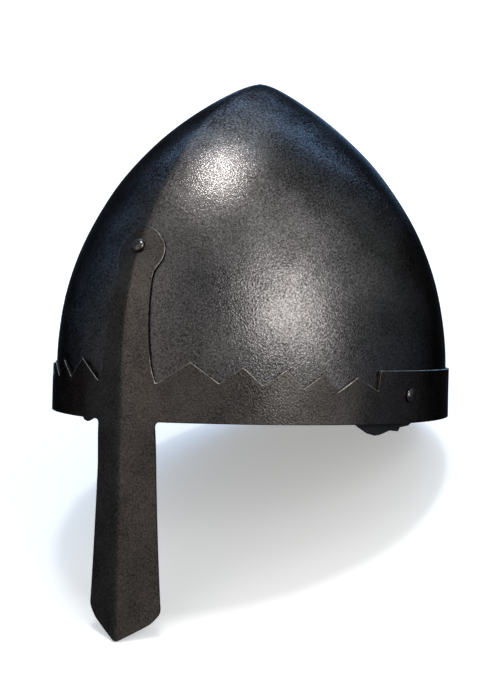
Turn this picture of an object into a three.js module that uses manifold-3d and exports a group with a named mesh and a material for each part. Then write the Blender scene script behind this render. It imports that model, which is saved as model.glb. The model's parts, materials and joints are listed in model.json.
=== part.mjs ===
// A nasal helmet: a raised steel skull with a keel down its front, and round it a brow band cut in
// one sheet with the nasal guard, a zigzag upper edge and a lobed strip up the keel.
// Millimetres. In the upright helmet the front is -Y, the wearer's left is +X and the rim is z = 0.
// "Along" is the length from the keel round the band's outer face, less than 0 on the wearer's right.
import * as THREE from 'three';
import { mergeVertices } from 'three/addons/utils/BufferGeometryUtils.js';
import Module from 'manifold-3d';

const wasm = await Module();
wasm.setup();

// Skull, outside sizes
const skullWidth = 201.5;
const frontLength = 119;
const rearLength = 118;
const skullHeight = 173.5;
const wallHeight = 24.5;
const crownSetBack = 5;
const crownLift = 3;
const crownLiftReach = 30;
const crownBlunting = 1.6;
const keelSharpness = 0.43;

// Sheets, lining and the gap left between pieces that touch
const skullSheet = 1.5;
const bandSheet = 1.5;
const leatherThickness = 2;
const clearance = 0.3;
const skullRimSetBack = 1;

// Brow band with its zigzag, which ends in a step at the temple
const bandHeight = 25.8;
const zigzagLength = 112;
const stepRun = 1.5;
const firstNotchHeight = 18.3;

// Strip up the keel and its lobe, measured above the rim
const stripFootHalfWidth = 16.6;
const stripHeight = 92;
const lobeHalfWidth = 14.5;

// Nasal guard below the rim
const nasalLength = 103;
const nasalHalfWidth = 21.5;
const nasalSweepDegrees = 21.5;
const nasalBlendLength = 24;

// Leather lining, a ring inside the rim, which dips under the rim behind the temples
const leatherHeight = 44;
const leatherEdgeAboveRim = 1.5;
const leatherDip = 5.7;
const leatherDipStart = 107;
const leatherDipLength = 50;

// Rivets
const rivetHeadRadius = 3.4;
const rivetHeadHeight = 1.9;
const rivetHeadEdge = 0.5;
const rivetShankRadius = 1.7;
const rivetTailRadius = 2.9;
const rivetTailHeight = 1.1;
const frontRivetHeight = 82;
const sideRivetAlong = 152;
const sideRivetHeight = 13.4;

// Fineness of the facets
const columnPitch = 9;
const domeRows = 12;
const rivetSides = 14;
const runSamples = 900;

// Teeth of the zigzag from the strip to the temple: each peak and the notch behind it,
// as shares of the zigzag's length and of the band's height
const teeth = [
  { peakAt: 0.146, peakHeight: 1.1, notchAt: 0.266, notchHeight: 0.73 },
  { peakAt: 0.364, peakHeight: 1.03, notchAt: 0.448, notchHeight: 0.71 },
  { peakAt: 0.551, peakHeight: 1.0, notchAt: 0.626, notchHeight: 0.66 },
  { peakAt: 0.72, peakHeight: 0.94, notchAt: 0.786, notchHeight: 0.6 },
  { peakAt: 0.884, peakHeight: 0.87, notchAt: 1.0, notchHeight: 0.62 },
];

// Outline of the strip above its foot, as shares of its height and of the lobe's half width
const stripRows = [
  { up: 0.27, half: 1.02 },
  { up: 0.36, half: 0.93 },
  { up: 0.46, half: 0.85 },
  { up: 0.54, half: 0.8 },
  { up: 0.63, half: 0.75 },
  { up: 0.71, half: 0.72 },
  { up: 0.745, half: 0.72 },
  { up: 0.772, half: 0.765 },
  { up: 0.797, half: 0.86 },
  { up: 0.823, half: 0.96 },
  { up: 0.86, half: 1.0 },
  { up: 0.893, half: 0.94 },
  { up: 0.928, half: 0.79 },
  { up: 0.968, half: 0.51 },
  { up: 0.992, half: 0.23 },
];

// Outline of the nasal below the rim, as shares of its length and of its greatest half width
const nasalRows = [
  { down: 0.1, half: 0.805 },
  { down: 0.3, half: 0.845 },
  { down: 0.5, half: 0.892 },
  { down: 0.7, half: 0.95 },
  { down: 0.84, half: 1.0 },
  { down: 0.872, half: 0.965 },
  { down: 0.893, half: 0.88 },
  { down: 0.917, half: 0.755 },
  { down: 0.985, half: 0.17 },
];

// Lower edge of the lining where it dips, as shares of the dip's run and depth
const dipRows = [
  { at: 0.09, drop: 0.25 },
  { at: 0.34, drop: 1.0 },
  { at: 0.52, drop: 0.68 },
  { at: 0.72, drop: 0.7 },
  { at: 0.9, drop: 0.25 },
];

const halfWidth = skullWidth / 2;
const keelTurn = Math.asin(keelSharpness / (1 + keelSharpness));
const bandInside = clearance;
const bandOutside = clearance + bandSheet;
const leatherOutside = -skullSheet - clearance;
const leatherInside = leatherOutside - leatherThickness;

// Skull surface: at each height the same plan, drawn in along a pointed arch, and lifted a little
// round the crown

// Share of its width or length at the rim that the skull still has at a height
function shareLeft(height, reach) {
  const rise = skullHeight - wallHeight;
  const radius = (reach ** 2 + rise ** 2) / (2 * reach);
  const above = Math.max(height - wallHeight, 0);
  return (Math.sqrt(radius ** 2 - above ** 2) - (radius - reach)) / reach;
}

// A point of the skull's left half: the turn runs from the keel, past the widest place, to the rear
function skullSurface(turn, height) {
  const isFront = turn < Math.PI / 2;
  const keel = isFront ? keelSharpness : 0;
  const reach = isFront ? frontLength : rearLength;
  const stretch = isFront ? reach / Math.cos(keelTurn) : reach;
  const sideShare = shareLeft(height, halfWidth);
  const x = ((1 + keel) * Math.sin(turn) - keel) * halfWidth * sideShare;
  const y = -stretch * Math.cos(turn) * shareLeft(height, reach) + crownSetBack * (1 - sideShare);
  const fromCrown = Math.hypot(x, y - crownSetBack);
  return new THREE.Vector3(x, y, height + crownLift * Math.exp(-((fromCrown / crownLiftReach) ** 2)));
}

// The outward direction there; on the keel, where two flanks meet, it is the mitre between them
function outwardAt(turn, height) {
  const small = 1e-4;
  const round = skullSurface(turn + small, height).sub(skullSurface(turn - small, height));
  const rising = skullSurface(turn, height + small).sub(skullSurface(turn, height - small));
  const outward = round.cross(rising).normalize();
  if (turn === keelTurn) {
    outward.x = 0;
    outward.divideScalar(outward.lengthSq());
  }
  return outward;
}

function shellPoint(turn, height, offset) {
  return skullSurface(turn, height).addScaledVector(outwardAt(turn, height), offset);
}

// Lengths round the outer face of the band, for turning a length into a turn
const runTurns = [];
const runLengths = [];
for (let i = 0; i <= runSamples; i += 1) {
  const turn = keelTurn + (Math.PI - keelTurn) * (i / runSamples);
  const here = shellPoint(turn, 0, bandOutside);
  const before = i > 0 ? shellPoint(runTurns[i - 1], 0, bandOutside) : here;
  runTurns.push(turn);
  runLengths.push(i > 0 ? runLengths[i - 1] + here.distanceTo(before) : 0);
}
const halfRun = runLengths[runSamples];

function turnAt(length) {
  const next = runLengths.findIndex((run) => run > length);
  if (length <= 0) return keelTurn;
  if (next < 0) return Math.PI;
  const share = (length - runLengths[next - 1]) / (runLengths[next] - runLengths[next - 1]);
  return runTurns[next - 1] + share * (runTurns[next] - runTurns[next - 1]);
}

function onItsSide(point, along) {
  if (along < 0) point.x = -point.x;
  return point;
}

// Flat patterns: points in length along and height up, joined in triangles, then folded to shape
function newPattern() {
  return { points: [], faces: [], known: new Map() };
}

function patternPoint(pattern, { along, up }) {
  const key = `${along.toFixed(3)} ${up.toFixed(3)}`;
  if (!pattern.known.has(key)) {
    pattern.known.set(key, pattern.points.length);
    pattern.points.push({ along, up });
  }
  return pattern.known.get(key);
}

// Fills the space between two rows of as many points, and also across the rear where they close
function fillBetween(pattern, lowerRow, upperRow, closed) {
  const lower = lowerRow.map((point) => patternPoint(pattern, point));
  const upper = upperRow.map((point) => patternPoint(pattern, point));
  const last = closed ? lower.length : lower.length - 1;
  for (let i = 0; i < last; i += 1) {
    const j = (i + 1) % lower.length;
    pattern.faces.push([lower[i], lower[j], upper[j]], [lower[i], upper[j], upper[i]]);
  }
}

// Fills from a row to one point, above the row or below it
function fillToTip(pattern, row, tip, closed) {
  const points = row.map((point) => patternPoint(pattern, point));
  const end = patternPoint(pattern, tip);
  const last = closed ? points.length : points.length - 1;
  const tipIsAbove = tip.up > row[0].up;
  for (let i = 0; i < last; i += 1) {
    const j = (i + 1) % points.length;
    pattern.faces.push(tipIsAbove ? [points[i], points[j], end] : [points[j], points[i], end]);
  }
}

// Folds a pattern twice, for its outer and inner face, and closes the edges between the two
function foldSheet(pattern, fold, outerOffset, innerOffset) {
  const count = pattern.points.length;
  const positions = [];
  for (const offset of [outerOffset, innerOffset]) {
    for (const { along, up } of pattern.points) positions.push(...fold(along, up, offset).toArray());
  }
  const index = [];
  const edges = new Set();
  for (const [a, b, c] of pattern.faces) {
    index.push(a, b, c, a + count, c + count, b + count);
    edges.add(`${a} ${b}`).add(`${b} ${c}`).add(`${c} ${a}`);
  }
  for (const edge of edges) {
    const [a, b] = edge.split(' ').map(Number);
    if (!edges.has(`${b} ${a}`)) index.push(b, a, a + count, b, a + count, b + count);
  }
  const geometry = new THREE.BufferGeometry();
  geometry.setAttribute('position', new THREE.Float32BufferAttribute(positions, 3));
  geometry.setIndex(index);
  return geometry;
}

// Both halves of a list of columns, from the rearmost right to the rearmost left
function bothSides(columns) {
  const rightSide = columns.slice(1).reverse().map((along) => -along);
  return [...rightSide, ...columns];
}

// Columns at which every ring is folded: the strip, each peak and notch, and even steps to the rear
const zigzagStart = stripFootHalfWidth;
const zigzagEnd = zigzagStart + zigzagLength;
const plainStart = zigzagEnd + stepRun;
const zigzagPoints = [{ along: zigzagStart, up: firstNotchHeight }];
for (const tooth of teeth) {
  zigzagPoints.push({ along: zigzagStart + tooth.peakAt * zigzagLength, up: tooth.peakHeight * bandHeight });
  zigzagPoints.push({ along: zigzagStart + tooth.notchAt * zigzagLength, up: tooth.notchHeight * bandHeight });
}
const rearCount = Math.round((halfRun - plainStart) / columnPitch);
const rearStep = (halfRun - plainStart) / (rearCount + 0.5);
const rearColumns = Array.from({ length: rearCount + 1 }, (_, i) => plainStart + i * rearStep);
const zigzagColumns = zigzagPoints.map((point) => point.along);
const ringColumns = [0, stripFootHalfWidth / 2, ...zigzagColumns, ...rearColumns];
const rearmostColumn = ringColumns[ringColumns.length - 1];

// Skull: rows of equal length up the side's arch, closed in the blunt crown
function foldSkull(along, up, offset) {
  if (up >= skullHeight) {
    return new THREE.Vector3(0, crownSetBack, skullHeight + crownLift - crownBlunting + offset);
  }
  return onItsSide(shellPoint(turnAt(Math.abs(along)), up, offset), along);
}

function skullRowHeights() {
  const rise = skullHeight - wallHeight;
  const archRadius = (halfWidth ** 2 + rise ** 2) / (2 * halfWidth);
  const archAngle = Math.asin(rise / archRadius);
  const onArch = (i) => wallHeight + archRadius * Math.sin(archAngle * (i / domeRows));
  return [skullRimSetBack, ...Array.from({ length: domeRows }, (_, i) => onArch(i))];
}

function skullGeometry() {
  const pattern = newPattern();
  const columns = bothSides(ringColumns);
  const rows = skullRowHeights().map((up) => columns.map((along) => ({ along, up })));
  for (let i = 0; i + 1 < rows.length; i += 1) fillBetween(pattern, rows[i], rows[i + 1], true);
  fillToTip(pattern, rows[rows.length - 1], { along: 0, up: skullHeight }, true);
  return foldSheet(pattern, foldSkull, 0, -skullSheet);
}

// Band, strip and nasal: above the rim the sheet lies on the skull, below it the nasal hangs
// straight down in a sharper V than the keel
function nasalPoint(along, up, offset) {
  const sweep = THREE.MathUtils.degToRad(nasalSweepDegrees);
  const outerRidge = shellPoint(keelTurn, 0, bandOutside).y;
  const depth = bandOutside - offset;
  if (along === 0) return new THREE.Vector3(0, outerRidge + depth / Math.cos(sweep), up);
  const length = Math.abs(along);
  const x = length * Math.cos(sweep) - depth * Math.sin(sweep);
  const y = outerRidge + length * Math.sin(sweep) + depth * Math.cos(sweep);
  return new THREE.Vector3(x, y, up);
}

function foldBand(along, up, offset) {
  const length = Math.abs(along) / shareLeft(up, halfWidth);
  const onSkull = shellPoint(turnAt(length), Math.max(up, 0), offset);
  if (up >= 0) return onItsSide(onSkull, along);
  onSkull.z = up;
  const blend = THREE.MathUtils.smoothstep(-up, 0, nasalBlendLength);
  return onItsSide(onSkull.lerp(nasalPoint(along, up, offset), blend), along);
}

function bandTopAt(along) {
  const length = Math.abs(along);
  if (length <= zigzagStart) return firstNotchHeight;
  if (length >= plainStart) return bandHeight;
  return zigzagPoints.find((point) => point.along === length).up;
}

function bandGeometry() {
  const pattern = newPattern();
  const columns = bothSides(ringColumns);
  const rowAt = (share) => columns.map((along) => ({ along, up: share * bandTopAt(along) }));
  fillBetween(pattern, rowAt(0), rowAt(0.5), true);
  fillBetween(pattern, rowAt(0.5), rowAt(1), true);
  const across = (half, up) => [-1, -0.5, 0, 0.5, 1].map((share) => ({ along: share * half, up }));
  let row = across(stripFootHalfWidth, firstNotchHeight);
  for (const { up, half } of stripRows) {
    const next = across(half * lobeHalfWidth, up * stripHeight);
    fillBetween(pattern, row, next, false);
    row = next;
  }
  fillToTip(pattern, row, { along: 0, up: stripHeight }, false);
  row = across(stripFootHalfWidth, 0);
  for (const { down, half } of nasalRows) {
    const next = across(half * nasalHalfWidth, -down * nasalLength);
    fillBetween(pattern, next, row, false);
    row = next;
  }
  fillToTip(pattern, row, { along: 0, up: -nasalLength }, false);
  return foldSheet(pattern, foldBand, bandOutside, bandInside);
}

// Leather lining
function leatherEdgeAt(along) {
  const place = (Math.abs(along) - leatherDipStart) / leatherDipLength;
  const rows = [{ at: 0, drop: 0 }, ...dipRows, { at: 1, drop: 0 }];
  const next = rows.findIndex((row) => row.at > place);
  if (next < 1) return leatherEdgeAboveRim;
  const before = rows[next - 1];
  const share = (place - before.at) / (rows[next].at - before.at);
  const drop = before.drop + share * (rows[next].drop - before.drop);
  return leatherEdgeAboveRim - drop * (leatherDip + leatherEdgeAboveRim);
}

function leatherGeometry() {
  const dipColumns = dipRows.map((row) => leatherDipStart + row.at * leatherDipLength);
  const farFromDips = (along) => dipColumns.every((dip) => Math.abs(along - dip) > columnPitch / 4);
  const kept = ringColumns.filter((along) => along === 0 || farFromDips(along));
  const columns = bothSides([...kept, ...dipColumns].sort((a, b) => a - b));
  const pattern = newPattern();
  const lower = columns.map((along) => ({ along, up: leatherEdgeAt(along) }));
  const middle = columns.map((along) => ({ along, up: wallHeight }));
  const upper = columns.map((along) => ({ along, up: leatherHeight }));
  fillBetween(pattern, lower, middle, true);
  fillBetween(pattern, middle, upper, true);
  const fold = (along, up, offset) => {
    const point = onItsSide(shellPoint(turnAt(Math.abs(along)), Math.max(up, 0), offset), along);
    point.z += Math.min(up, 0);
    return point;
  };
  return foldSheet(pattern, fold, leatherOutside, leatherInside);
}

// Rivets: each has its place on the band's outer face, its outward axis and the stack that it grips
const keelSlope = (frontLength * Math.tan(keelTurn)) / ((1 + keelSharpness) * halfWidth * Math.cos(keelTurn));
const steelStack = bandOutside + skullSheet;
const fullStack = bandOutside - leatherInside;
const rivets = [
  {
    name: 'front_rivet',
    along: 0,
    up: frontRivetHeight,
    grip: steelStack + clearance + rivetTailRadius * keelSlope,
    through: ['skull', 'nasal_band'],
  },
  {
    name: 'side_rivet_left',
    along: sideRivetAlong,
    up: sideRivetHeight,
    grip: fullStack + clearance,
    through: ['skull', 'nasal_band', 'leather_headband'],
  },
  {
    name: 'side_rivet_right',
    along: -sideRivetAlong,
    up: sideRivetHeight,
    grip: fullStack + clearance,
    through: ['skull', 'nasal_band', 'leather_headband'],
  },
];
for (const rivet of rivets) {
  const turn = turnAt(Math.abs(rivet.along));
  rivet.place = onItsSide(shellPoint(turn, rivet.up, bandOutside), rivet.along);
  rivet.axis = onItsSide(outwardAt(turn, rivet.up).normalize(), rivet.along);
}

// Profile of a rivet about its axis, from the peened tail inside to the domed head outside
function rivetGeometry(grip) {
  const tailFace = -grip;
  const tailEnd = tailFace - rivetTailHeight;
  const headFace = clearance;
  const headEdge = headFace + rivetHeadEdge;
  const domeHeight = rivetHeadHeight - rivetHeadEdge;
  const profile = [
    [0, tailEnd],
    [rivetTailRadius * 0.7, tailEnd],
    [rivetTailRadius, tailEnd + rivetTailHeight * 0.5],
    [rivetTailRadius, tailFace],
    [rivetShankRadius, tailFace],
    [rivetShankRadius, headFace],
    [rivetHeadRadius, headFace],
  ];
  for (const degrees of [0, 25, 50, 72, 90]) {
    const angle = THREE.MathUtils.degToRad(degrees);
    profile.push([rivetHeadRadius * Math.cos(angle), headEdge + domeHeight * Math.sin(angle)]);
  }
  profile[profile.length - 1][0] = 0;
  return new THREE.LatheGeometry(profile.map(([radius, height]) => new THREE.Vector2(radius, height)), rivetSides);
}

function turnedTo(axis) {
  return new THREE.Quaternion().setFromUnitVectors(new THREE.Vector3(0, 1, 0), axis);
}

// Cutting the rivet holes
function toSolid(geometry) {
  const bare = geometry.clone();
  bare.deleteAttribute('normal');
  bare.deleteAttribute('uv');
  const merged = mergeVertices(bare);
  const vertProperties = new Float32Array(merged.attributes.position.array);
  const triVerts = new Uint32Array(merged.index.array);
  return new wasm.Manifold(new wasm.Mesh({ numProp: 3, vertProperties, triVerts }));
}

function toGeometry(solid) {
  const mesh = solid.getMesh();
  const geometry = new THREE.BufferGeometry();
  geometry.setAttribute('position', new THREE.Float32BufferAttribute(mesh.vertProperties, 3));
  geometry.setIndex(Array.from(mesh.triVerts));
  return geometry;
}

function withRivetHoles(name, geometry) {
  let solid = toSolid(geometry);
  for (const rivet of rivets.filter(({ through }) => through.includes(name))) {
    const length = 2 * (rivet.grip + rivetHeadHeight);
    const radius = rivetShankRadius + clearance;
    const drill = new THREE.CylinderGeometry(radius, radius, length, rivetSides);
    drill.applyQuaternion(turnedTo(rivet.axis));
    drill.translate(...rivet.place.toArray());
    solid = solid.subtract(toSolid(drill));
  }
  return toGeometry(solid);
}

const steel = () => new THREE.MeshStandardMaterial({ color: '#55514e', metalness: 1, roughness: 0.42 });
const leather = () => new THREE.MeshStandardMaterial({ color: '#17130f', metalness: 0, roughness: 0.7 });

const helmet = new THREE.Group();
const pieces = [
  { name: 'skull', geometry: skullGeometry(), material: steel() },
  { name: 'nasal_band', geometry: bandGeometry(), material: steel() },
  { name: 'leather_headband', geometry: leatherGeometry(), material: leather() },
];
for (const { name, geometry, material } of pieces) {
  const mesh = new THREE.Mesh(withRivetHoles(name, geometry), material);
  mesh.name = name;
  helmet.add(mesh);
}
for (const rivet of rivets) {
  const mesh = new THREE.Mesh(rivetGeometry(rivet.grip), steel());
  mesh.name = rivet.name;
  mesh.position.copy(rivet.place);
  mesh.quaternion.copy(turnedTo(rivet.axis));
  helmet.add(mesh);
}

// The helmet rests tipped back, on the tip of the nasal and the rear of the rim
const tipRest = foldBand(0, -nasalLength, bandInside);
const rearRest = foldBand(rearmostColumn, 0, bandOutside);
const restTilt = Math.atan2(rearRest.z - tipRest.z, rearRest.y - tipRest.y);
helmet.rotation.x = -restTilt;

// The origin is on the ground under the middle of the resting helmet
const resting = new THREE.Group();
resting.add(helmet);
resting.updateMatrixWorld(true);
const box = new THREE.Box3().setFromObject(resting, true);
helmet.position.set(0, -(box.min.y + box.max.y) / 2, -box.min.z);

export default resting;
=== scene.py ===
# A nasal helmet of blackened steel: a raised skull with a keel down its front, and round it a brow
# band with a zigzag edge, a lobed strip up the keel and a nasal guard, all cut from one sheet.
# The helmet's own sizes are in millimetres in the upright helmet, whose front is -Y, whose wearer's
# left is +X and whose rim is z = 0. Its lie below turns them to the resting helmet, in metres.
import json
import math

import bpy
import numpy as np
from mathutils import Matrix, Vector


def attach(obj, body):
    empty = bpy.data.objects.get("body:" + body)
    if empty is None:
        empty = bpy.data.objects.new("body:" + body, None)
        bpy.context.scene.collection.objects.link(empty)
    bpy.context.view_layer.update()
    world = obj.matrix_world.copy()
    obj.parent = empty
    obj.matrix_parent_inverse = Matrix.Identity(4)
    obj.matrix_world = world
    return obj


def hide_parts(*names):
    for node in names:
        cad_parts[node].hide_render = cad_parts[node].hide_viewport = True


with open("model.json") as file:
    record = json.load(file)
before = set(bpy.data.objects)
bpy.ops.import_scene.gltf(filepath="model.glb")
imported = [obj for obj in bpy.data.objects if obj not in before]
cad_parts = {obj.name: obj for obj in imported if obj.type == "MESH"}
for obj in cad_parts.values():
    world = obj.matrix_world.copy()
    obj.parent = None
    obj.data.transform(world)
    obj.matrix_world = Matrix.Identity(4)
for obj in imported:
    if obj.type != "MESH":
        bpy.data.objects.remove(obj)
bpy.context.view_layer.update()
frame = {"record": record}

# The helmet's lie. It rests tipped back, on the tip of the nasal and the rear of the rim. The
# record gives the middle of the rim and the way out of the hollow there.
METRES_PER_MM = 0.001

opening = next(mount for mount in frame["record"]["mounts"] if mount["name"] == "head_opening")
upright = -Vector(opening["axis"]).normalized()
sideways = Vector((1, 0, 0))
turned = Matrix((sideways, upright.cross(sideways), upright)).transposed()
lie = Matrix.Translation(opening["pos_m"]) @ turned.to_4x4() @ Matrix.Scale(METRES_PER_MM, 4)

# The skull. It is raised from one steel sheet 1.5 mm thick over a stake, with a keel hammered up
# its front and a blunt pointed crown, then heated and oiled until it is black. The hammer leaves
# it faintly uneven and finely pebbled, so that it sparkles where a light catches it.
SKULL_WIDTH = 201.5
FRONT_LENGTH = 119
REAR_LENGTH = 117.6
SKULL_HEIGHT = 173.5
WALL_HEIGHT = 24.5
CROWN_SET_BACK = 5
CROWN_LIFT = 3
CROWN_LIFT_REACH = 30
CROWN_ROUNDING = 4
KEEL_SHARPNESS = 0.43
KEEL_ROUNDING = 1.3
KEEL_ROUNDING_AT_CROWN = 3.5
SKULL_SHEET = 1.5
SKULL_RIM_SET_BACK = 1
SKULL_MESH_PITCH = 2.6
CLEARANCE = 0.3
BAND_SHEET = 1.5
BAND_INSIDE = CLEARANCE
BAND_OUTSIDE = CLEARANCE + BAND_SHEET
DENT_DEPTH = 0.28
DENT_LENGTHS = (34, 47, 62, 85)
DENT_WAVES_PER_LENGTH = 3
DENT_MIDDLE = 0.55
DENT_SWING = 0.15
DENT_LEAST = 0.1
DENT_SEED = 7
RIM_POINTS = 901
KEEL_SEARCHES = 3
LEAST_SHARE = 0.02

HALF_WIDTH = SKULL_WIDTH / 2
RISE = SKULL_HEIGHT - WALL_HEIGHT
SIDE_RADIUS = (HALF_WIDTH**2 + RISE**2) / (2 * HALF_WIDTH)
CROWN_SLOPE = math.sqrt(SIDE_RADIUS**2 - RISE**2) / RISE
KEEL_TURN = math.asin(KEEL_SHARPNESS / (1 + KEEL_SHARPNESS))
KEEL_STRETCH = (1 + KEEL_SHARPNESS) * math.cos(KEEL_TURN) * HALF_WIDTH
KEEL_SLOPE = FRONT_LENGTH * math.tan(KEEL_TURN) / KEEL_STRETCH


# Share of its width or length at the rim that the skull still has at a height
def share_left(height, reach):
    radius = (reach**2 + RISE**2) / (2 * reach)
    above = np.clip(height - WALL_HEIGHT, 0, RISE)
    return (np.sqrt(radius**2 - above**2) - (radius - reach)) / reach


# The skull's left half: the turn runs from the keel, past the widest place, to the rear
def skull_surface(turn, height):
    in_front = turn < math.pi / 2
    keel = np.where(in_front, KEEL_SHARPNESS, 0)
    reach = np.where(in_front, FRONT_LENGTH, REAR_LENGTH)
    stretch = np.where(in_front, FRONT_LENGTH / math.cos(KEEL_TURN), REAR_LENGTH)
    side_share = share_left(height, HALF_WIDTH)
    x = ((1 + keel) * np.sin(turn) - keel) * HALF_WIDTH * side_share
    y = -stretch * np.cos(turn) * share_left(height, reach) + CROWN_SET_BACK * (1 - side_share)
    from_crown = np.hypot(x, y - CROWN_SET_BACK)
    z = height + CROWN_LIFT * np.exp(-((from_crown / CROWN_LIFT_REACH) ** 2))
    return np.stack(np.broadcast_arrays(x, y, z), -1)


def outward_at(turn, height):
    small = 1e-4
    around = skull_surface(turn + small, height) - skull_surface(turn - small, height)
    rising = skull_surface(turn, height + small) - skull_surface(turn, height - small)
    outward = np.cross(around, rising)
    return outward / np.linalg.norm(outward, axis=-1, keepdims=True)


# The turn at which the two flanks meet once they are moved out by an offset
def keel_turn_at(height, offset):
    turn = np.full(np.shape(height), KEEL_TURN)
    share = np.maximum(share_left(height, HALF_WIDTH), LEAST_SHARE)
    for _ in range(KEEL_SEARCHES):
        x = skull_surface(turn, height)[..., 0] + outward_at(turn, height)[..., 0] * offset
        turn = turn - x / (KEEL_STRETCH * share)
    return turn


rim_turns = np.linspace(float(keel_turn_at(0.0, BAND_OUTSIDE)), math.pi, RIM_POINTS)
rim_line = skull_surface(rim_turns, 0.0) + outward_at(rim_turns, 0.0) * BAND_OUTSIDE
rim_steps = np.linalg.norm(np.diff(rim_line, axis=0), axis=-1)
rim_lengths = np.concatenate([[0], np.cumsum(rim_steps)])
HALF_RUN = rim_lengths[-1]

# Broad shallow dents of the hammer, always inwards, so that the skull keeps its largest size. They
# are a sum of waves, each with a direction of three numbers and a start.
dent_count = DENT_WAVES_PER_LENGTH * len(DENT_LENGTHS)
dent_waves = np.random.default_rng(DENT_SEED).normal(size=(dent_count, 4))


def dent_at(place):
    total = 0
    for i, (*direction, start) in enumerate(dent_waves):
        direction = np.array(direction) / np.linalg.norm(direction)
        length = DENT_LENGTHS[i % len(DENT_LENGTHS)]
        total = total + np.sin(place @ direction * math.tau / length + start * math.pi)
    return DENT_DEPTH * np.clip(DENT_MIDDLE + DENT_SWING * total, DENT_LEAST, 1)


# Points of the shell, by their length round the rim from the keel, which is less than 0 on the
# wearer's right, their height and their distance off the skull's outside
def shell_points(along, height, offset):
    sides = np.where(along < 0, -1, 1)
    keel_turn = keel_turn_at(height, offset)
    rim_turn = np.interp(np.abs(along), rim_lengths, rim_turns)
    share = (rim_turn - rim_turns[0]) / (math.pi - rim_turns[0])
    turn = keel_turn + share * (math.pi - keel_turn)
    points = skull_surface(turn, height)
    mirror = np.stack(np.broadcast_arrays(sides, 1, 1), -1)
    depth = offset - dent_at(points * mirror)
    points = points + outward_at(turn, height) * depth[..., None]
    points[..., 0] = np.where(along == 0, 0, points[..., 0])
    climb = np.clip(height / SKULL_HEIGHT, 0, 1)
    rounding = KEEL_ROUNDING + (KEEL_ROUNDING_AT_CROWN - KEEL_ROUNDING) * climb**4
    points[..., 1] += KEEL_SLOPE * (np.hypot(points[..., 0], rounding) - points[..., 0])
    return points * mirror


# A piece of sheet has three materials: its faces', its rubbed corners' and its cut edges', the last
# painted dark as shade
WORN_SLOT = 1
CUT_SLOT = 2


# A flat pattern: points in length along and height up, and the faces between rows of them
class Pattern:
    def __init__(self):
        self.places = {}
        self.faces = []

    def row(self, alongs, ups):
        places = zip(*np.broadcast_arrays(alongs, ups))
        keys = [(round(float(along), 3), round(float(up), 3)) for along, up in places]
        return [self.places.setdefault(key, len(self.places)) for key in keys]

    def fill(self, lower, upper, closed=False):
        for i in range(len(lower) if closed else len(lower) - 1):
            j = (i + 1) % len(lower)
            self.faces.append((lower[i], lower[j], upper[j], upper[i]))

    def fill_to_tip(self, row, along, up, above=True, closed=False):
        tip = self.row([along], [up])[0]
        for i in range(len(row) if closed else len(row) - 1):
            j = (i + 1) % len(row)
            self.faces.append((row[i], row[j], tip) if above else (row[j], row[i], tip))

    # Folds the pattern to its outer and inner side and closes the cut edges between them
    def folded(self, name, fold, outer_offset, inner_offset):
        along, up = np.array(list(self.places)).T
        count = len(self.places)
        points = np.concatenate([fold(along, up, outer_offset), fold(along, up, inner_offset)])
        edges = {(face[i - 1], face[i]) for face in self.faces for i in range(len(face))}
        walls = [(b, a, a + count, b + count) for a, b in sorted(edges) if (b, a) not in edges]
        inside = [tuple(i + count for i in reversed(face)) for face in self.faces]
        piece = new_piece(name, points, self.faces + inside + walls)
        for polygon in piece.data.polygons[-len(walls) :]:
            polygon.material_index = CUT_SLOT
        return piece


def new_piece(name, points, faces):
    mesh = bpy.data.meshes.new(name)
    mesh.from_pydata(points.tolist(), [], faces)
    mesh.transform(lie)
    mesh.shade_smooth()
    piece = bpy.data.objects.new(name, mesh)
    bpy.context.scene.collection.objects.link(piece)
    return piece


def both_sides(columns):
    return np.concatenate([-columns[:0:-1], columns])


def even_steps(start, end, pitch):
    return np.linspace(start, end, max(round((end - start) / pitch), 1) + 1)


# The surface faces no one way at its very tip, so that point is placed by itself
TIP_GAP = 0.2


def fold_skull(along, up, offset):
    points = shell_points(along, np.minimum(up, SKULL_HEIGHT - TIP_GAP), offset)
    points[up >= SKULL_HEIGHT] = (0, CROWN_SET_BACK, SKULL_HEIGHT + CROWN_LIFT + offset)
    across = np.hypot(points[:, 0], points[:, 1] - CROWN_SET_BACK)
    blunted = CROWN_SLOPE * (np.hypot(across, CROWN_ROUNDING) - across)
    points[:, 2] -= np.where(up > WALL_HEIGHT, blunted, 0)
    return points


# Rows of equal length up the side's arch. The columns are closest at the keel.
side_angle = math.asin(RISE / SIDE_RADIUS)
arch_angles = even_steps(0, side_angle, SKULL_MESH_PITCH / SIDE_RADIUS)[:-1]
wall_rows = even_steps(SKULL_RIM_SET_BACK, WALL_HEIGHT, SKULL_MESH_PITCH)[:-1]
skull_rows = np.concatenate([wall_rows, WALL_HEIGHT + SIDE_RADIUS * np.sin(arch_angles)])
keel_columns = np.array([0, 0.4, 0.8, 1.3, 1.9, 2.7, 3.8, 5.2, 7.2])
rear_column = HALF_RUN - SKULL_MESH_PITCH / 2
side_columns = even_steps(keel_columns[-1], rear_column, SKULL_MESH_PITCH)
skull_columns = np.concatenate([keel_columns[:-1], side_columns])

skull_pattern = Pattern()
rows = [skull_pattern.row(both_sides(skull_columns), up) for up in skull_rows]
for lower, upper in zip(rows, rows[1:]):
    skull_pattern.fill(lower, upper, closed=True)
skull_pattern.fill_to_tip(rows[-1], 0, SKULL_HEIGHT, closed=True)
skull = skull_pattern.folded("raised_skull", fold_skull, 0, -SKULL_SHEET)


def linear(hex_colour):
    parts = [int(hex_colour[i : i + 2], 16) / 255 for i in (1, 3, 5)]
    return [*(p / 12.92 if p <= 0.04045 else ((p + 0.055) / 1.055) ** 2.4 for p in parts), 1]


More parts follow.
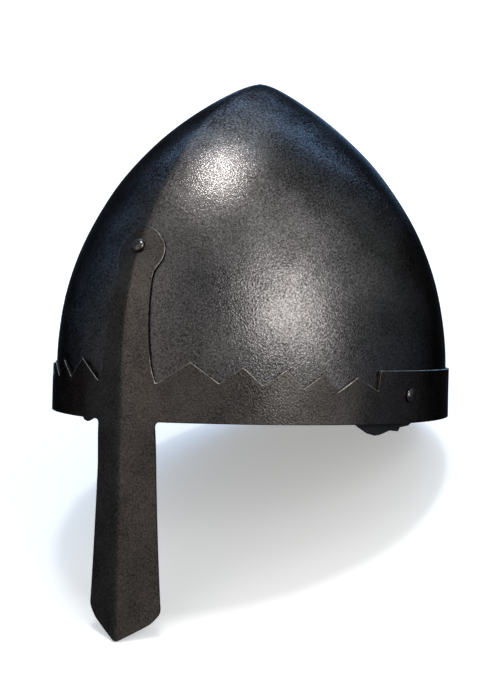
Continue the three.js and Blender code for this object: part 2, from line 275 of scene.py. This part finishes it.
# Settings are a node's own properties, or its input sockets where they are keyed by number. Of a
# noise, 2 to 4 are the scale, the detail and the roughness; of a map range, 1 to 4 are the range
# it takes and the range it gives; of a mix, 6 and 7 are its colours; of a bump, 0 and 1 are its
# strength and its depth.
def add_node(material, kind, settings, links):
    node = material.node_tree.nodes.new(kind)
    for name, value in settings.items():
        if isinstance(name, int):
            node.inputs[name].default_value = value
        else:
            setattr(node, name, value)
    for socket, source in links.items():
        material.node_tree.links.new(source, node.inputs[socket])
    return node.outputs


def new_material(name, metallic, roughness):
    material = bpy.data.materials.new(name)
    material.use_nodes = True
    shader = material.node_tree.nodes["Principled BSDF"]
    shader.inputs["Metallic"].default_value = metallic
    shader.inputs["Roughness"].default_value = roughness
    return material, shader


# Blackened steel: bare metal at heart, with the default IOR, under a skin of black oxide and oil
# that takes most of the shine. Its pebbles are about a millimetre across. The oxide is rubbed thin
# where stain and grain together are high.
GRAIN_DETAIL = 1.5
STAIN_DETAIL = 3.0
NOISE_ROUGHNESS = 0.6
STAIN_WEIGHT = 0.45
WORN_FROM = 0.46
WORN_TO = 0.98


def blackened_steel(name, oxide, bare, edge, grain_mm, grain_depth_mm, stain_mm, roughness):
    material, shader = new_material(name, metallic=1.0, roughness=roughness)
    shader.inputs["Specular Tint"].default_value = linear(edge)
    place = add_node(material, "ShaderNodeTexCoord", {}, {})["Object"]
    pebbles = {2: 1 / (grain_mm * METRES_PER_MM), 3: GRAIN_DETAIL, 4: NOISE_ROUGHNESS}
    grain = add_node(material, "ShaderNodeTexNoise", pebbles, {0: place})[0]
    clouds = {2: 1 / (stain_mm * METRES_PER_MM), 3: STAIN_DETAIL, 4: NOISE_ROUGHNESS}
    stain = add_node(material, "ShaderNodeTexNoise", clouds, {0: place})[0]
    blend = {"operation": "MULTIPLY_ADD", 1: STAIN_WEIGHT}
    worn = add_node(material, "ShaderNodeMath", blend, {0: stain, 2: grain})[0]
    worn_range = {1: WORN_FROM, 2: WORN_TO, 3: 0.0, 4: 1.0}
    worn_share = add_node(material, "ShaderNodeMapRange", worn_range, {0: worn})[0]
    tones = {"data_type": "RGBA", 6: linear(oxide), 7: linear(bare)}
    colour = add_node(material, "ShaderNodeMix", tones, {0: worn_share})[2]
    material.node_tree.links.new(colour, shader.inputs["Base Color"])
    bump = {0: 1.0, 1: grain_depth_mm * METRES_PER_MM}
    uneven = add_node(material, "ShaderNodeBump", bump, {"Height": grain})[0]
    material.node_tree.links.new(uneven, shader.inputs["Normal"])
    return material


raised_steel = blackened_steel(
    "oil_blackened_raised_steel",
    oxide="#353230",
    bare="#8b8786",
    edge="#4a4a4a",
    grain_mm=0.9,
    grain_depth_mm=0.14,
    stain_mm=24,
    roughness=0.25,
)

# The corner of a sheet's cut edge is rubbed in patches until the bare steel shows: most along the
# zigzag and round the lobe, hardly along the rim, the nasal and the strip's long sides. The rub
# goes by the height up the helmet, as a share of RUB_TOP.
EDGE_ROUNDING_MM = 0.3
RUB_PATCH_MM = 5
RUB_TOP = 100
RUBBED_HEIGHTS = ((0, 0.12), (0.08, 0.12), (0.14, 1), (0.28, 1), (0.31, 0.1), (0.66, 0.1), (0.72, 1))
PATCH_FROM = 0.35
PATCH_TO = 0.6
PATCH_LEAST = 0.25
UNRUBBED_COLOUR = "#353230"
RUBBED_COLOUR = "#b8b4ac"

worn_edge_steel, worn_shader = new_material("edge_steel_worn_bright", metallic=1.0, roughness=0.42)
worn_place = add_node(worn_edge_steel, "ShaderNodeTexCoord", {}, {})["Object"]
patches = {2: 1 / (RUB_PATCH_MM * METRES_PER_MM), 3: STAIN_DETAIL}
patch = add_node(worn_edge_steel, "ShaderNodeTexNoise", patches, {0: worn_place})[0]
per_top = upright / (RUB_TOP * METRES_PER_MM)
climbing = {"operation": "DOT_PRODUCT", 1: per_top}
climbed = add_node(worn_edge_steel, "ShaderNodeVectorMath", climbing, {0: worn_place})[1]
from_rim = {"operation": "SUBTRACT", 1: per_top.dot(Vector(opening["pos_m"]))}
climbed = add_node(worn_edge_steel, "ShaderNodeMath", from_rim, {0: climbed})[0]
rubbed = add_node(worn_edge_steel, "ShaderNodeValToRGB", {}, {0: climbed})[0]
stops = rubbed.node.color_ramp.elements
while len(stops) < len(RUBBED_HEIGHTS):
    stops.new(1)
for (height, rub), stop in zip(RUBBED_HEIGHTS, stops):
    stop.position = height
    stop.color = (rub, rub, rub, 1)
patch_range = {1: PATCH_FROM, 2: PATCH_TO, 3: PATCH_LEAST, 4: 1.0}
patch = add_node(worn_edge_steel, "ShaderNodeMapRange", patch_range, {0: patch})[0]
times = {"operation": "MULTIPLY"}
rub_share = add_node(worn_edge_steel, "ShaderNodeMath", times, {0: rubbed, 1: patch})[0]
worn_tones = {"data_type": "RGBA", 6: linear(UNRUBBED_COLOUR), 7: linear(RUBBED_COLOUR)}
worn_colour = add_node(worn_edge_steel, "ShaderNodeMix", worn_tones, {0: rub_share})[2]
worn_edge_steel.node_tree.links.new(worn_colour, worn_shader.inputs["Base Color"])

# The cut faces are rough and painted near black, darker than the oxide on the faces: painted shade
# that stands in for the shadow in the thin gap along the sheet's edges
cut_edge_painted_shade_steel, cut_edge_painted_shade_shader = new_material("cut_edge_steel_painted_shade", metallic=1.0, roughness=0.6)
cut_edge_painted_shade_shader.inputs["Base Color"].default_value = linear("#201e1c")

# Edges that turn by more than this are rounded
SHARP_TURN = math.radians(52)


def round_the_edges(piece, width_mm):
    rounding = piece.modifiers.new("worn edges", "BEVEL")
    rounding.limit_method = "ANGLE"
    rounding.angle_limit = SHARP_TURN
    rounding.width = width_mm * METRES_PER_MM
    rounding.segments = 2
    rounding.material = WORN_SLOT
    rounding.harden_normals = True
    rounding.use_clamp_overlap = False


for material in (raised_steel, worn_edge_steel, cut_edge_painted_shade_steel):
    skull.data.materials.append(material)
round_the_edges(skull, EDGE_ROUNDING_MM)
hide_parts("skull")
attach(skull, "root")


# The nasal band. One rolled steel sheet is cut to a brow band with a zigzag edge in front and a
# plain one behind, a lobed strip up the keel and a nasal guard, which is bent to a sharper V than
# the keel. It lies over the skull's rim and is riveted to it. Its cut edges are worn bright.
BAND_HEIGHT = 25.8
ZIGZAG_LENGTH = 112
STEP_RUN = 1.5
FIRST_NOTCH_HEIGHT = 18.3
NOTCH_FLOOR = 1.2
STRIP_FOOT_HALF_WIDTH = 16.6
STRIP_HEIGHT = 92
STRIP_FLARE = 0.6
STRIP_FLARE_FOOT = 20
STRIP_FLARE_TOP = 74
LOBE_HALF_WIDTH = 14.5
NASAL_LENGTH = 102.9
NASAL_HALF_WIDTH = 21.5
NASAL_SWEEP = math.radians(21.5)
NASAL_BLEND_LENGTH = 24
NASAL_RIDGE_ROUNDING = 1.5
NASAL_RIDGE_ROUNDING_INSIDE = 0.2
NASAL_FILLET = 2.2
BAND_MESH_PITCH = 2.4
OUTLINE_PITCH = 1.2
REAR_FACET = 4.4
ROUNDING_ERROR = 1e-6

# Where rows and columns of points lie: up the band, out from the keel to the strip's or nasal's
# edge, and along and down the small curve between band and nasal
BAND_ROW_SHARES = (0, 0.04, 0.15, 0.3, 0.45, 0.6, 0.75, 0.88, 0.97, 1.0)
STRIP_SHARES = np.array([0, 0.03, 0.06, 0.1, 0.15, 0.22, 0.32, 0.45, 0.6, 0.74, 0.86, 0.95, 1.0])
FILLET_SHARES_ALONG = np.array([0.06, 0.2, 0.4, 0.7, 1.0])
FILLET_SHARES_DOWN = np.array([0.02, 0.08, 0.2, 0.4, 0.65])

# Each tooth's peak and the notch behind it: its place as a share of the zigzag's length, and its
# height as a share of the band's
TEETH = (
    ((0.146, 1.1), (0.266, 0.73)),
    ((0.364, 1.03), (0.448, 0.71)),
    ((0.551, 1.0), (0.626, 0.66)),
    ((0.72, 0.94), (0.786, 0.6)),
    ((0.884, 0.87), (1.0, 0.62)),
)

# The strip's outline above its foot: half width and height, as shares of the lobe's half width and
# of the strip's height
STRIP_OUTLINE = (
    (1.02, 0.27), (0.93, 0.36), (0.85, 0.46), (0.8, 0.54), (0.75, 0.63), (0.72, 0.71), (0.72, 0.745),
    (0.755, 0.772), (0.83, 0.797), (0.91, 0.823), (0.945, 0.86), (0.9, 0.893), (0.77, 0.928),
    (0.51, 0.968), (0.23, 0.992), (0.0, 1.0),
)

# The nasal's outline below the rim, as shares of its greatest half width and of its length
NASAL_OUTLINE = (
    (0.805, 0.1), (0.845, 0.3), (0.892, 0.5), (0.95, 0.7), (0.99, 0.82), (1.0, 0.845), (0.975, 0.868),
    (0.88, 0.893), (0.755, 0.917), (0.17, 0.985), (0.0, 1.0),
)


# Nasal: straight flanks swept back from its ridge, at the depth of each side of the sheet
def nasal_points(along, up, offset):
    depth = BAND_OUTSIDE - offset
    length = np.abs(along)
    x = length * math.cos(NASAL_SWEEP)
    x = x - depth * math.sin(NASAL_SWEEP) * np.minimum(length / NASAL_HALF_WIDTH, 1)
    ridge = rim_line[0, 1] + depth / math.cos(NASAL_SWEEP)
    rounding = NASAL_RIDGE_ROUNDING if offset == BAND_OUTSIDE else NASAL_RIDGE_ROUNDING_INSIDE
    y = ridge + math.tan(NASAL_SWEEP) * np.hypot(x, rounding)
    return np.stack(np.broadcast_arrays(np.where(along < 0, -x, x), y, up), -1)


# The strip's long edges stand a little off the skull between its foot and its lobe
def fold_band(along, up, offset):
    height = np.maximum(up, 0)
    climb = np.clip((up - STRIP_FLARE_FOOT) / (STRIP_FLARE_TOP - STRIP_FLARE_FOOT), 0, 1)
    from_keel = np.where(np.abs(along) < STRIP_FOOT_HALF_WIDTH, np.abs(along) / LOBE_HALF_WIDTH, 0)
    flare = STRIP_FLARE * np.sin(climb * math.pi) * from_keel
    on_skull = shell_points(along / share_left(height, HALF_WIDTH), height, offset + flare)
    on_skull[:, 2] = up
    share = np.clip(-up / NASAL_BLEND_LENGTH, 0, 1)
    blend = (share * share * (3 - 2 * share))[:, None]
    return on_skull * (1 - blend) + nasal_points(along, up, offset) * blend


# A smooth curve through the points of a half outline, which ends in the middle of the tip
def smooth_outline(points):
    before = np.concatenate([[2 * points[0] - points[1]], points[:-2]])
    after = np.concatenate([points[2:], [points[-2] * (-1, 1)]])
    curve = [points[:1]]
    for p0, p1, p2, p3 in zip(before, points[:-1], points[1:], after):
        length = np.linalg.norm(p2 - p1)
        start = (p2 - p0) / np.linalg.norm(p2 - p0) * length
        end = (p3 - p1) / np.linalg.norm(p3 - p1) * length
        t = np.linspace(0, 1, math.ceil(length / OUTLINE_PITCH) + 1)[1:, None]
        leaving = (2 * t**3 - 3 * t**2 + 1) * p1 + (t**3 - 2 * t**2 + t) * start
        curve.append(leaving + (3 * t**2 - 2 * t**3) * p2 + (t**3 - t**2) * end)
    return np.concatenate(curve)


ZIGZAG_START = STRIP_FOOT_HALF_WIDTH
PLAIN_START = ZIGZAG_START + ZIGZAG_LENGTH + STEP_RUN
zigzag = [(0, FIRST_NOTCH_HEIGHT), (ZIGZAG_START, FIRST_NOTCH_HEIGHT)]
zigzag.append((ZIGZAG_START + NOTCH_FLOOR, FIRST_NOTCH_HEIGHT))
for tooth in TEETH:
    zigzag += [(ZIGZAG_START + at * ZIGZAG_LENGTH, up * BAND_HEIGHT) for at, up in tooth]
zigzag += [(PLAIN_START, BAND_HEIGHT), (HALF_RUN, BAND_HEIGHT)]
corners, corner_heights = np.array(zigzag).T

fillet_columns = ZIGZAG_START + NASAL_FILLET * FILLET_SHARES_ALONG
band_columns = [STRIP_SHARES * ZIGZAG_START, fillet_columns]
for start, end in zip(corners[2:-2], corners[3:-1]):
    band_columns.append(even_steps(start, end, BAND_MESH_PITCH))
band_columns.append(even_steps(PLAIN_START, HALF_RUN - REAR_FACET, BAND_MESH_PITCH))
band_columns = np.unique(np.concatenate(band_columns).round(3))
band_tops = np.interp(np.abs(both_sides(band_columns)), corners, corner_heights)

band_pattern = Pattern()
rows = []
for share in BAND_ROW_SHARES:
    rows.append(band_pattern.row(both_sides(band_columns), share * band_tops))
for lower, upper in zip(rows, rows[1:]):
    band_pattern.fill(lower, upper, closed=True)

strip_outline = np.array(STRIP_OUTLINE) * [LOBE_HALF_WIDTH, STRIP_HEIGHT]
strip_outline = np.concatenate([[(STRIP_FOOT_HALF_WIDTH, FIRST_NOTCH_HEIGHT)], strip_outline])
row = band_pattern.row(both_sides(STRIP_SHARES * ZIGZAG_START), FIRST_NOTCH_HEIGHT)
for half, up in smooth_outline(strip_outline)[1:-1]:
    next_row = band_pattern.row(both_sides(STRIP_SHARES * half), up)
    band_pattern.fill(row, next_row)
    row = next_row
band_pattern.fill_to_tip(row, 0, STRIP_HEIGHT)

nasal_outline = np.array(NASAL_OUTLINE) * [NASAL_HALF_WIDTH, NASAL_LENGTH]
nasal_outline = np.concatenate([[(STRIP_FOOT_HALF_WIDTH, 0)], nasal_outline])
nasal_curve = smooth_outline(nasal_outline)[:-1]
fillet_downs = NASAL_FILLET * FILLET_SHARES_DOWN
downs = np.concatenate([fillet_downs, nasal_curve[nasal_curve[:, 1] > NASAL_FILLET, 1]])
nasal_columns = band_columns[band_columns <= ZIGZAG_START + NASAL_FILLET + ROUNDING_ERROR]
nasal_shares = nasal_columns / nasal_columns[-1]
row = band_pattern.row(both_sides(nasal_columns), 0)
for down in downs:
    half = np.interp(down, nasal_curve[:, 1], nasal_curve[:, 0])
    still = max(NASAL_FILLET - down, 0)
    half += NASAL_FILLET - math.sqrt(NASAL_FILLET**2 - still**2)
    next_row = band_pattern.row(both_sides(nasal_shares * half), -down)
    band_pattern.fill(next_row, row)
    row = next_row
band_pattern.fill_to_tip(row, 0, -NASAL_LENGTH, above=False)
nasal_band = band_pattern.folded("nasal_band_sheet", fold_band, BAND_OUTSIDE, BAND_INSIDE)

rolled_steel = blackened_steel(
    "oil_blackened_rolled_steel",
    oxide="#3b3734",
    bare="#7b7570",
    edge="#4a4a4a",
    grain_mm=0.8,
    grain_depth_mm=0.13,
    stain_mm=18,
    roughness=0.28,
)
for material in (rolled_steel, worn_edge_steel, cut_edge_painted_shade_steel):
    nasal_band.data.materials.append(material)
round_the_edges(nasal_band, EDGE_ROUNDING_MM)
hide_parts("nasal_band")
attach(nasal_band, "root")


# The leather lining. A band of black leather 2 mm thick is laid round the inside of the rim and
# held by the side rivets. It has slipped a little below the rim at the temples and at one brow.
LEATHER_THICKNESS = 2
LEATHER_HEIGHT = 44
LEATHER_MESH_PITCH = 2.4
LEATHER_EDGE_ROUNDING_MM = 0.4
LEATHER_OUTSIDE = -SKULL_SHEET - CLEARANCE
LEATHER_INSIDE = LEATHER_OUTSIDE - LEATHER_THICKNESS

# Places along the rim and heights of the leather's lower edge where it sags at the temples, less
# far on the wearer's right, and a smaller sag at the wearer's right brow alone
TEMPLE_SAG = (
    (112, 1.5), (116, 0.4), (120, -1.9), (125, -4.5), (130, -5.7), (134, -5.3), (138, -4.2),
    (141, -3.5), (144, -3.8), (147, -4.1), (148, -3.8), (149, -2.3), (157, -1.6), (164, 1.5),
)
RIGHT_TEMPLE_LOWEST = -3
TEMPLE_SAG_REACH = (110, 168)
BROW_SAG = ((22, 1.5), (26, 0.4), (30, -1.4), (33, -2.3), (36, -1.9), (39, 0.2), (42, 1.5))
BROW_SAG_REACH = (20, 44)
SAG_MESH_PITCH = 1
LEATHER_ROW_SHARES = (0, 0.02, 0.06, 0.14, 0.25, 0.4, 0.55, 0.7, 0.85, 0.95, 1)


def leather_edge_at(along):
    edge = np.interp(np.abs(along), *np.array(TEMPLE_SAG).T)
    edge = np.maximum(edge, np.where(along < 0, RIGHT_TEMPLE_LOWEST, edge))
    return np.minimum(edge, np.interp(-along, *np.array(BROW_SAG).T))


def fold_leather(along, up, offset):
    points = shell_points(along, np.maximum(up, 0), offset)
    points[:, 2] += np.minimum(up, 0)
    return points


leather_columns = [keel_columns, even_steps(keel_columns[-1], rear_column, LEATHER_MESH_PITCH)]
for start, end in (BROW_SAG_REACH, TEMPLE_SAG_REACH):
    leather_columns.append(even_steps(start, end, SAG_MESH_PITCH))
leather_columns = both_sides(np.unique(np.concatenate(leather_columns).round(3)))
leather_edge = leather_edge_at(leather_columns)
leather_pattern = Pattern()
rows = []
for share in LEATHER_ROW_SHARES:
    ups = leather_edge + share * (LEATHER_HEIGHT - leather_edge)
    rows.append(leather_pattern.row(leather_columns, ups))
for lower, upper in zip(rows, rows[1:]):
    leather_pattern.fill(lower, upper, closed=True)
lining = leather_pattern.folded("leather_lining", fold_leather, LEATHER_OUTSIDE, LEATHER_INSIDE)

# Vegetable-tanned leather dyed black: matt, with a pore grain that gives a faint sheen. The pores
# are drawn coarser than the real ones of about 0.3 mm, so that they show.
PORE_MM = 1.1
PORE_DEPTH_MM = 0.2
PORE_STRENGTH = 0.5

leather_name = "black_vegetable_tanned_leather"
black_leather, leather_shader = new_material(leather_name, metallic=0.0, roughness=0.55)
leather_shader.inputs["IOR"].default_value = 1.5
leather_shader.inputs["Base Color"].default_value = linear("#0d0b0a")
leather_place = add_node(black_leather, "ShaderNodeTexCoord", {}, {})["Object"]
pore_scale = {2: 1 / (PORE_MM * METRES_PER_MM)}
pores = add_node(black_leather, "ShaderNodeTexVoronoi", pore_scale, {0: leather_place})[0]
pore_depth = {0: PORE_STRENGTH, 1: PORE_DEPTH_MM * METRES_PER_MM}
pore_bump = add_node(black_leather, "ShaderNodeBump", pore_depth, {"Height": pores})[0]
black_leather.node_tree.links.new(pore_bump, leather_shader.inputs["Normal"])
for _ in (0, WORN_SLOT, CUT_SLOT):
    lining.data.materials.append(black_leather)
round_the_edges(lining, LEATHER_EDGE_ROUNDING_MM)
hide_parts("leather_headband")
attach(lining, "root")


# The rivets. Soft steel rivets hold band, skull and lining together: one high on the keel's strip
# and one at each temple. Their heads are domed with a hammer, which leaves small flats, and they
# are rubbed brighter than the sheets. The front one's head is dressed down over the keel.
RIVET_HEAD_RADIUS = 3.4
RIVET_HEAD_HEIGHT = 1.9
RIVET_HEAD_EDGE = 0.5
RIVET_SHANK_RADIUS = 1.7
RIVET_TAIL_RADIUS = 2.9
RIVET_TAIL_HEIGHT = 1.1
RIVET_DOME_STEP = 10
RIVET_CREASE = math.radians(40)
RIVET_SEAT_REACH = 0.5
FRONT_RIVET_HEIGHT = 82
SIDE_RIVET_ALONG = 152
SIDE_RIVET_HEIGHT = 13.4
RIVET_SIDES = 32
HAMMER_FLATS = 6
HAMMER_FLAT_DEPTH = 0.16
HAMMER_LEANS = (0.1, 0.9)
HAMMER_SEED = 3
STEEL_STACK = BAND_OUTSIDE + SKULL_SHEET + CLEARANCE
FULL_STACK = BAND_OUTSIDE - LEATHER_INSIDE + CLEARANCE

# The peened tail from its end: shares of its radius and of its height
TAIL_PROFILE = ((0.7, 0), (0.92, 0.2), (1, 0.5))

rivet_steel = blackened_steel(
    "hammered_rivet_steel",
    oxide="#4a4644",
    bare="#8a8580",
    edge="#6a6a6a",
    grain_mm=0.9,
    grain_depth_mm=0.04,
    stain_mm=3,
    roughness=0.22,
)

# Name, place along and up, what the rivet grips, and the slope that its head is dressed to
rivets = (
    ("front_rivet", 0, FRONT_RIVET_HEIGHT, STEEL_STACK + RIVET_TAIL_RADIUS * KEEL_SLOPE, KEEL_SLOPE),
    ("side_rivet_left", SIDE_RIVET_ALONG, SIDE_RIVET_HEIGHT, FULL_STACK, 0),
    ("side_rivet_right", -SIDE_RIVET_ALONG, SIDE_RIVET_HEIGHT, FULL_STACK, 0),
)
dome_angles = np.radians(np.arange(0, 90, RIVET_DOME_STEP))
dome = np.stack([np.cos(dome_angles), np.sin(dome_angles)], -1)
dome = dome * [RIVET_HEAD_RADIUS, RIVET_HEAD_HEIGHT - RIVET_HEAD_EDGE]
dome = dome + [0, CLEARANCE + RIVET_HEAD_EDGE]
around = np.arange(RIVET_SIDES) * math.tau / RIVET_SIDES
hammer = np.random.default_rng(HAMMER_SEED)
for name, along, up, grip, slope in rivets:
    tail = -grip - RIVET_TAIL_HEIGHT
    profile = [
        *((RIVET_TAIL_RADIUS * out, tail + RIVET_TAIL_HEIGHT * share) for out, share in TAIL_PROFILE),
        (RIVET_TAIL_RADIUS, -grip),
        (RIVET_SHANK_RADIUS, -grip),
        (RIVET_SHANK_RADIUS, CLEARANCE),
        (RIVET_HEAD_RADIUS, CLEARANCE),
        *dome,
    ]
    rings = []
    for radius, height in profile:
        ring = np.stack([radius * np.cos(around), radius * np.sin(around), 0 * around + height], -1)
        if height == CLEARANCE:
            ring[:, 2] -= slope * np.abs(ring[:, 0])
        rings.append(ring)
    points = np.concatenate([*rings, [(0, 0, tail), (0, 0, CLEARANCE + RIVET_HEAD_HEIGHT)]])
    for _ in range(HAMMER_FLATS):
        lean = hammer.uniform(*HAMMER_LEANS)
        turn = hammer.uniform(0, math.tau)
        level_part = math.sin(lean)
        facing = np.array([level_part * math.cos(turn), level_part * math.sin(turn), math.cos(lean)])
        heights = points @ facing
        beyond = np.maximum(heights - (heights.max() - HAMMER_FLAT_DEPTH), 0)
        points = points - beyond[:, None] * facing
    faces = []
    last = (len(profile) - 1) * RIVET_SIDES
    for i in range(RIVET_SIDES):
        j = (i + 1) % RIVET_SIDES
        for start in range(0, last, RIVET_SIDES):
            end = start + RIVET_SIDES
            faces.append((start + i, start + j, end + j, end + i))
        faces.append((j, i, len(points) - 2))
        faces.append((last + i, last + j, len(points) - 1))
    alongs = np.array([along, along, along - RIVET_SEAT_REACH, along + RIVET_SEAT_REACH])
    ups = np.array([up, up + 2 * RIVET_SEAT_REACH, up, up])
    at, above, behind, ahead = (Vector(place) for place in fold_band(alongs, ups, BAND_OUTSIDE))
    across = (ahead - behind).normalized()
    axis = across.cross(above - at).normalized()
    rivet_turn = Matrix((across, axis.cross(across), axis))
    points = points @ np.array(rivet_turn) + np.array(at)
    rivet = new_piece(name + "_hammered", points, faces)
    rivet.data.set_sharp_from_angle(angle=RIVET_CREASE)
    rivet.data.materials.append(rivet_steel)
    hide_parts(name)
    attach(rivet, "root")


# The studio: a round white table top that glows a little, so that shadows on it stay light, and
# far round it a pale backdrop that only the camera sees. The steel mirrors neither of them.
TABLE_RADIUS = 2
TABLE_SIDES = 96
TABLE_GLOW = 0.42
BACKDROP_RADIUS = 6
BACKDROP_GLOW = 1.0
STAGE_COLOUR = "#f4f4f2"


def stage_material(name, glow):
    material, shader = new_material(name, metallic=0.0, roughness=0.9)
    shader.inputs["Base Color"].default_value = linear(STAGE_COLOUR)
    shader.inputs["Emission Color"].default_value = linear(STAGE_COLOUR)
    shader.inputs["Emission Strength"].default_value = glow
    return material


turns = np.arange(TABLE_SIDES) * math.tau / TABLE_SIDES
floor_points = [(TABLE_RADIUS * math.cos(a), TABLE_RADIUS * math.sin(a), 0) for a in turns]
floor_mesh = bpy.data.meshes.new("pale_floor")
floor_mesh.from_pydata(floor_points, [], [tuple(range(TABLE_SIDES))])
floor_mesh.materials.append(stage_material("pale_floor", TABLE_GLOW))
floor = bpy.data.objects.new("pale_floor", floor_mesh)
bpy.context.scene.collection.objects.link(floor)
floor.visible_glossy = False

bpy.ops.mesh.primitive_uv_sphere_add(segments=48, ring_count=24, radius=BACKDROP_RADIUS)
backdrop = bpy.context.object
backdrop.name = "pale_backdrop"
backdrop.data.materials.append(stage_material("pale_backdrop", BACKDROP_GLOW))
backdrop.visible_glossy = False
backdrop.visible_diffuse = False
backdrop.visible_shadow = False
backdrop.visible_transmission = False


# The lights: a small strong one high behind the helmet, a large soft one at the wearer's left, and
# broad dim fills, bluer towards the rear. The floor's light keeps the table white and isn't seen
# in the steel. Turns go from the helmet's front to the wearer's left, and rises from the floor.
def from_direction(turn, rise):
    turn, rise = math.radians(turn), math.radians(rise)
    return Vector((math.sin(turn) * math.cos(rise), -math.cos(turn) * math.cos(rise), math.sin(rise)))


LIGHT_TARGET = Vector((0, 0, 0.11))

high_light = bpy.data.lights.new("high_light", "SUN")
high_light.energy = 0.72
high_light.angle = math.radians(8)
high_object = bpy.data.objects.new("high_light", high_light)
high_object.rotation_euler = from_direction(turn=166, rise=75).to_track_quat("Z", "Y").to_euler()
bpy.context.scene.collection.objects.link(high_object)

# Name, turn, rise, distance and size in metres, colour, watts
softboxes = (
    ("left_softbox", 73, 29, 1.7, 0.85, "#ffffff", 9.2),
    ("left_fill", 98, 52, 2.4, 1.5, "#ffffff", 5),
    ("left_rear_fill", 112, 26, 2.2, 1.1, "#f8fcff", 1.4),
    ("low_left_fill", 79, 8, 2.2, 1.2, "#ffffff", 1.9),
    ("front_left_fill", 34, 26, 2.4, 1.1, "#fff6f2", 1.0),
    ("front_fill", -14, 42, 2.4, 1.7, "#fff6f2", 4.6),
    ("front_low_fill", 4, 12, 2.4, 1.4, "#ffe7d4", 1.1),
    ("rear_fill", -166, 54, 2.4, 1.3, "#d4eaff", 5),
    ("rear_low_fill", -170, 14, 2.4, 2.2, "#90c4ff", 34),
    ("right_rear_fill", -140, 29, 2.4, 1.4, "#90c4ff", 12),
    ("right_low_fill", -112, 12, 2.4, 1.6, "#68b0ff", 3.6),
    ("overhead_fill", 20, 85, 2.6, 2.0, "#fffbf2", 3.3),
    ("floor_light", 0, 90, 3.0, 4.0, "#ffffff", 12),
)
for name, turn, rise, distance, size, colour, watts in softboxes:
    softbox = bpy.data.lights.new(name, "AREA")
    softbox.shape = "SQUARE"
    softbox.size = size
    softbox.energy = watts
    softbox.color = linear(colour)[:3]
    softbox_object = bpy.data.objects.new(name, softbox)
    softbox_object.location = LIGHT_TARGET + from_direction(turn, rise) * distance
    softbox_object.rotation_euler = from_direction(turn, rise).to_track_quat("Z", "Y").to_euler()
    softbox_object.visible_camera = False
    softbox_object.visible_glossy = name != "floor_light"
    bpy.context.scene.collection.objects.link(softbox_object)

# The dim room round it all is darker and bluer below than above, and changes between two rises,
# which are given as their sines
ROOM_CHANGE_FROM = -0.3
ROOM_CHANGE_TO = 0.15

world = bpy.data.worlds.new("dim_studio")
world.use_nodes = True
world_place = add_node(world, "ShaderNodeTexCoord", {}, {})["Generated"]
world_height = add_node(world, "ShaderNodeSeparateXYZ", {}, {0: world_place})[2]
world_range = {1: ROOM_CHANGE_FROM, 2: ROOM_CHANGE_TO, 3: 0.0, 4: 1.0}
world_share = add_node(world, "ShaderNodeMapRange", world_range, {0: world_height})[0]
world_tones = {"data_type": "RGBA", 6: linear("#687082"), 7: linear("#9aa0a6")}
world_colour = add_node(world, "ShaderNodeMix", world_tones, {0: world_share})[2]
backlight = world.node_tree.nodes["Background"]
backlight.inputs["Strength"].default_value = 0.52
world.node_tree.links.new(world_colour, backlight.inputs["Color"])
bpy.context.scene.world = world
bpy.context.scene.view_settings.view_transform = "Standard"


# The camera stands where the photograph's stood to the helmet: 30 degrees to the wearer's left of
# its front and level with its brow, which is above the floor now that the helmet lies tipped back
CAMERA_TURN = math.radians(29.98)
CAMERA_RISE = math.radians(0.95)
CAMERA_ROLL = math.radians(1.45)
CAMERA_DISTANCE = 800
AIM_SIDEWAYS = -0.54
AIM_HEIGHT = 32.8
PIXELS_PER_MM = 1.873
PHOTO_HEIGHT = 700
FILM_HEIGHT = 36

level = Vector((math.cos(CAMERA_TURN), math.sin(CAMERA_TURN), 0))
towards = Vector((math.sin(CAMERA_TURN), -math.cos(CAMERA_TURN), 0)) * math.cos(CAMERA_RISE)
towards.z = math.sin(CAMERA_RISE)
over = towards.cross(level)
camera_x = level * math.cos(CAMERA_ROLL) + over * math.sin(CAMERA_ROLL)
camera_y = over * math.cos(CAMERA_ROLL) - level * math.sin(CAMERA_ROLL)
camera_at = level * AIM_SIDEWAYS + Vector((0, 0, AIM_HEIGHT)) + towards * CAMERA_DISTANCE
camera_facing = turned @ Matrix((camera_x, camera_y, towards)).transposed()

lens = bpy.data.cameras.new("camera")
lens.sensor_fit = "VERTICAL"
lens.sensor_height = FILM_HEIGHT
lens.lens = PIXELS_PER_MM * CAMERA_DISTANCE / PHOTO_HEIGHT * FILM_HEIGHT
camera = bpy.data.objects.new("camera", lens)
camera.matrix_world = Matrix.Translation(lie @ camera_at) @ camera_facing.to_4x4()
bpy.context.scene.collection.objects.link(camera)
bpy.context.scene.camera = camera
